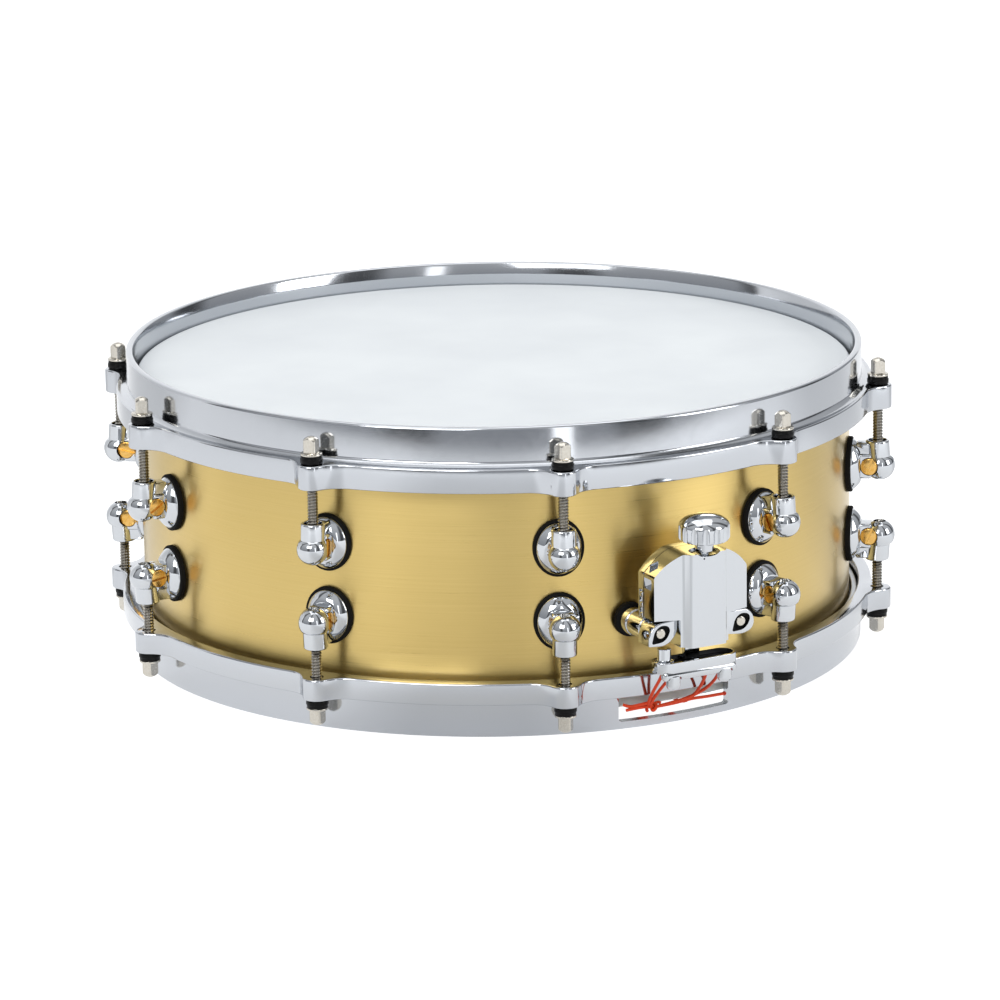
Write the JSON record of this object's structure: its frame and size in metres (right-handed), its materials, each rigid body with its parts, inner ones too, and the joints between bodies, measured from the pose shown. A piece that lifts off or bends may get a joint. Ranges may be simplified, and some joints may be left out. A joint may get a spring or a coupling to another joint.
{
  "type": "snare drum",
  "caption": "Shallow snare drum: brushed brass shell, cast hoops with eared rod seats, ball lugs, throw-off strainer with a top knob, and snare wires on cord.",
  "frame": {"origin": "centre of the batter head's playing surface", "axes": "+Z out of the batter head along the drum's axis; -Y towards the strainer"},
  "size_m": [0.3992, 0.4264, 0.1511],
  "materials": {
    "brass_shell": "brushed round the shell and lacquered",
    "chrome": "polished plate",
    "nickel_rods": "satin nickel plate",
    "coated_film": "rough white coating on film",
    "clear_film": "thin hazy film",
    "aluminium_hoops": "bare",
    "spring_steel": "bright coiled wire",
    "snare_cord": "smooth twisted cord"
  },
  "bodies": {
    "drum": {"shell": "brass_shell", "batter_head_film": "coated_film", "batter_flesh_hoop": "aluminium_hoops", "snare_head_film": "clear_film", "snare_flesh_hoop": "aluminium_hoops", "batter_hoop": "chrome", "snare_side_hoop": "chrome", "lug_top_01": "chrome", "lug_top_02": "chrome", "lug_top_03": "chrome", "lug_top_04": "chrome", "lug_top_05": "chrome", "lug_top_06": "chrome", "lug_top_07": "chrome", "lug_top_08": "chrome", "lug_top_09": "chrome", "lug_top_10": "chrome", "lug_bottom_01": "chrome", "lug_bottom_02": "chrome", "lug_bottom_03": "chrome", "lug_bottom_04": "chrome", "lug_bottom_05": "chrome", "lug_bottom_06": "chrome", "lug_bottom_07": "chrome", "lug_bottom_08": "chrome", "lug_bottom_09": "chrome", "lug_bottom_10": "chrome", "strainer_post_left": "chrome", "strainer_post_right": "chrome", "strainer_cover": "chrome", "butt_plate": "chrome", "butt_clamp_bar": "chrome", "front_cord": "snare_cord", "back_cord": "snare_cord"},
    "rod_top_01": {"tension_rod_top_01": "nickel_rods"},
    "rod_top_02": {"tension_rod_top_02": "nickel_rods"},
    "rod_top_03": {"tension_rod_top_03": "nickel_rods"},
    "rod_top_04": {"tension_rod_top_04": "nickel_rods"},
    "rod_top_05": {"tension_rod_top_05": "nickel_rods"},
    "rod_top_06": {"tension_rod_top_06": "nickel_rods"},
    "rod_top_07": {"tension_rod_top_07": "nickel_rods"},
    "rod_top_08": {"tension_rod_top_08": "nickel_rods"},
    "rod_top_09": {"tension_rod_top_09": "nickel_rods"},
    "rod_top_10": {"tension_rod_top_10": "nickel_rods"},
    "rod_bottom_01": {"tension_rod_bottom_01": "nickel_rods"},
    "rod_bottom_02": {"tension_rod_bottom_02": "nickel_rods"},
    "rod_bottom_03": {"tension_rod_bottom_03": "nickel_rods"},
    "rod_bottom_04": {"tension_rod_bottom_04": "nickel_rods"},
    "rod_bottom_05": {"tension_rod_bottom_05": "nickel_rods"},
    "rod_bottom_06": {"tension_rod_bottom_06": "nickel_rods"},
    "rod_bottom_07": {"tension_rod_bottom_07": "nickel_rods"},
    "rod_bottom_08": {"tension_rod_bottom_08": "nickel_rods"},
    "rod_bottom_09": {"tension_rod_bottom_09": "nickel_rods"},
    "rod_bottom_10": {"tension_rod_bottom_10": "nickel_rods"},
    "lever": {"throw_lever": "chrome"},
    "knob": {"strainer_knob": "chrome"},
    "carriage": {"snare_carriage": "chrome"},
    "clamp": {"snare_clamp": "chrome", "snare_clamp_bar": "chrome"},
    "wires": {"snare_wires": "spring_steel"}
  },
  "joints": [
    {"name": "rod_top_01_turn", "type": "hinge", "parent": "drum", "child": "rod_top_01", "pos_m": [0.05946, -0.18298, -0.0072], "axis": [0, 0, 1], "continuous": true},
    {"name": "rod_top_02_turn", "type": "hinge", "parent": "drum", "child": "rod_top_02", "pos_m": [0.15565, -0.11309, -0.0072], "axis": [0, 0, 1], "continuous": true},
    {"name": "rod_top_03_turn", "type": "hinge", "parent": "drum", "child": "rod_top_03", "pos_m": [0.1924, 0, -0.0072], "axis": [0, 0, 1], "continuous": true},
    {"name": "rod_top_04_turn", "type": "hinge", "parent": "drum", "child": "rod_top_04", "pos_m": [0.15565, 0.11309, -0.0072], "axis": [0, 0, 1], "continuous": true},
    {"name": "rod_top_05_turn", "type": "hinge", "parent": "drum", "child": "rod_top_05", "pos_m": [0.05946, 0.18298, -0.0072], "axis": [0, 0, 1], "continuous": true},
    {"name": "rod_top_06_turn", "type": "hinge", "parent": "drum", "child": "rod_top_06", "pos_m": [-0.05946, 0.18298, -0.0072], "axis": [0, 0, 1], "continuous": true},
    {"name": "rod_top_07_turn", "type": "hinge", "parent": "drum", "child": "rod_top_07", "pos_m": [-0.15565, 0.11309, -0.0072], "axis": [0, 0, 1], "continuous": true},
    {"name": "rod_top_08_turn", "type": "hinge", "parent": "drum", "child": "rod_top_08", "pos_m": [-0.1924, 0, -0.0072], "axis": [0, 0, 1], "continuous": true},
    {"name": "rod_top_09_turn", "type": "hinge", "parent": "drum", "child": "rod_top_09", "pos_m": [-0.15565, -0.11309, -0.0072], "axis": [0, 0, 1], "continuous": true},
    {"name": "rod_top_10_turn", "type": "hinge", "parent": "drum", "child": "rod_top_10", "pos_m": [-0.05946, -0.18298, -0.0072], "axis": [0, 0, 1], "continuous": true},
    {"name": "rod_bottom_01_turn", "type": "hinge", "parent": "drum", "child": "rod_bottom_01", "pos_m": [0.05946, -0.18298, -0.1228], "axis": [0, 0, 1], "continuous": true},
    {"name": "rod_bottom_02_turn", "type": "hinge", "parent": "drum", "child": "rod_bottom_02", "pos_m": [0.15565, -0.11309, -0.1228], "axis": [0, 0, 1], "continuous": true},
    {"name": "rod_bottom_03_turn", "type": "hinge", "parent": "drum", "child": "rod_bottom_03", "pos_m": [0.1924, 0, -0.1228], "axis": [0, 0, 1], "continuous": true},
    {"name": "rod_bottom_04_turn", "type": "hinge", "parent": "drum", "child": "rod_bottom_04", "pos_m": [0.15565, 0.11309, -0.1228], "axis": [0, 0, 1], "continuous": true},
    {"name": "rod_bottom_05_turn", "type": "hinge", "parent": "drum", "child": "rod_bottom_05", "pos_m": [0.05946, 0.18298, -0.1228], "axis": [0, 0, 1], "continuous": true},
    {"name": "rod_bottom_06_turn", "type": "hinge", "parent": "drum", "child": "rod_bottom_06", "pos_m": [-0.05946, 0.18298, -0.1228], "axis": [0, 0, 1], "continuous": true},
    {"name": "rod_bottom_07_turn", "type": "hinge", "parent": "drum", "child": "rod_bottom_07", "pos_m": [-0.15565, 0.11309, -0.1228], "axis": [0, 0, 1], "continuous": true},
    {"name": "rod_bottom_08_turn", "type": "hinge", "parent": "drum", "child": "rod_bottom_08", "pos_m": [-0.1924, 0, -0.1228], "axis": [0, 0, 1], "continuous": true},
    {"name": "rod_bottom_09_turn", "type": "hinge", "parent": "drum", "child": "rod_bottom_09", "pos_m": [-0.15565, -0.11309, -0.1228], "axis": [0, 0, 1], "continuous": true},
    {"name": "rod_bottom_10_turn", "type": "hinge", "parent": "drum", "child": "rod_bottom_10", "pos_m": [-0.05946, -0.18298, -0.1228], "axis": [0, 0, 1], "continuous": true},
    {"name": "lever_throw", "type": "hinge", "parent": "drum", "child": "lever", "pos_m": [-0.0217, -0.1952, -0.0867], "axis": [0, -1, 0], "range_deg": [0, 70]},
    {"name": "knob_turn", "type": "hinge", "parent": "drum", "child": "knob", "pos_m": [0, -0.2113, -0.0481], "axis": [0, 0, 1], "range_deg": [-540, 1440]},
    {"name": "carriage_drop", "type": "slide", "parent": "drum", "child": "carriage", "axis": [0, 0, -1], "range_m": [0, 0.008], "deforming": ["front_cord"]},
    {"name": "clamp_adjust", "type": "slide", "parent": "carriage", "child": "clamp", "axis": [0, 0, 1], "range_m": [-0.0034, 0.0013]},
    {"name": "wires_drop", "type": "slide", "parent": "drum", "child": "wires", "axis": [0, 0, -1], "range_m": [0, 0.002], "deforming": ["back_cord"]}
  ],
  "couplings": [
    {"joint": "carriage_drop", "follows": "lever_throw", "m_per_rad": 0.0065},
    {"joint": "wires_drop", "follows": "lever_throw", "m_per_rad": 0.0016},
    {"joint": "clamp_adjust", "follows": "knob_turn", "m_per_rad": -0.00012732}
  ]
}
